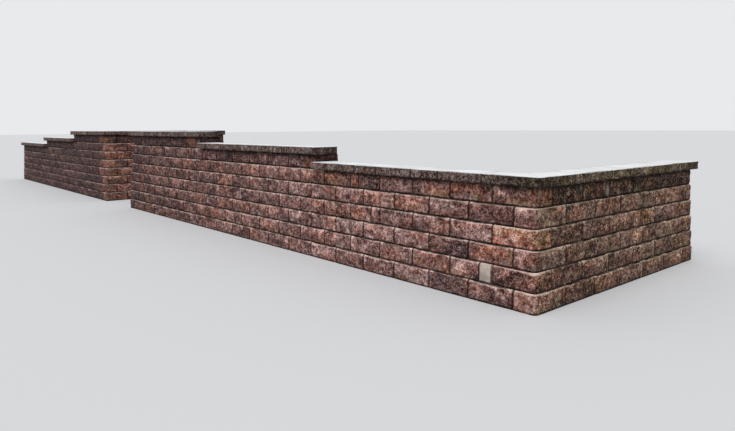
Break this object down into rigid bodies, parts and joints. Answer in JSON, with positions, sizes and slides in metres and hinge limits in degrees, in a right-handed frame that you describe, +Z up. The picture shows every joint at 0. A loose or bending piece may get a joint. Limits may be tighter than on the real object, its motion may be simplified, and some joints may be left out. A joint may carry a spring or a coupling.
{
  "type": "block garden wall with an entrance",
  "caption": "Battered dry-laid garden wall of split-face blocks with lapped corners, returns, an entrance gap and a coping that comes down in steps.",
  "frame": {"origin": "below the middle of the whole wall, on the plane of the base course's underside", "axes": "+X along the front from the far wall to the near corner, +Y into the garden, +Z up; the split faces look towards -Y"},
  "size_m": [16.14, 2.785, 1.2952],
  "materials": {
    "block": "split-face concrete, mottled brown, red-brown and charcoal",
    "corner_block": "split-face concrete, mottled red-brown and tan, split on two faces",
    "cap": "pale smooth-topped concrete with a dark split edge"
  },
  "bodies": {
    "root": {"near_course_1": "block", "near_course_2": "block", "near_course_3": "block", "near_course_4": "block", "near_course_5": "block", "near_course_6": "block", "near_course_7": "block", "near_course_8": "block", "garden_return_course_1": "block", "garden_return_course_2": "block", "garden_return_course_3": "block", "garden_return_course_4": "block", "garden_return_course_5": "block", "garden_return_course_6": "block", "far_course_1": "block", "far_course_2": "block", "far_course_3": "block", "far_course_4": "block", "far_course_5": "block", "far_course_6": "block", "far_course_7": "block", "far_course_8": "block", "near_entrance_return_odd": "block", "near_entrance_return_even": "block", "far_entrance_return_odd": "block", "far_entrance_return_even": "block", "garden_corner_odd": "corner_block", "garden_corner_even": "corner_block", "near_entrance_corner_odd": "corner_block", "near_entrance_corner_even": "corner_block", "far_entrance_corner_odd": "corner_block", "far_entrance_corner_even": "corner_block", "near_low_caps": "cap", "near_mid_caps": "cap", "near_high_caps": "cap", "garden_return_caps": "cap", "near_entrance_caps": "cap", "far_high_caps": "cap", "far_mid_caps": "cap", "far_low_caps": "cap", "far_entrance_caps": "cap"}
  },
  "joints": []
}
